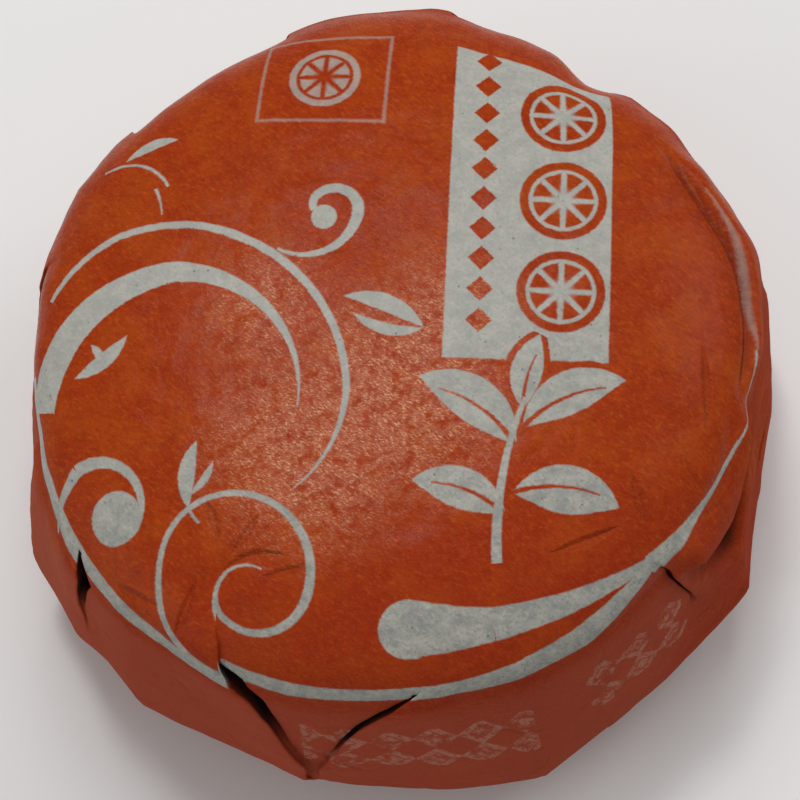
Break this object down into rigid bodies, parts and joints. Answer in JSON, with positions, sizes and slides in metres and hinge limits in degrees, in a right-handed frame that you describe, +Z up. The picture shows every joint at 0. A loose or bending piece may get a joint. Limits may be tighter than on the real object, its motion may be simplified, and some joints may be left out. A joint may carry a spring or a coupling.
{
  "type": "paper-wrapped mini tea cake",
  "caption": "Small nest-shaped cake of pressed ripe tea with citrus peel, shut in folded printed paper: domed face, soft shoulder, pleated wall flaring downward.",
  "frame": {"origin": "centre of the bounding box, on the plane the foot ring stands on", "axes": "+Z up out of the domed face, -Y towards the wall's open-topped gusset, +X to the right of it"},
  "size_m": [0.0268, 0.0262, 0.0126],
  "materials": {
    "paper_wrapper": "thin fibrous paper printed orange-red, soft grainy sheen, unprinted lines grey-white"
  },
  "bodies": {
    "root": {"wrapped_tuo": "paper_wrapper"}
  },
  "joints": []
}
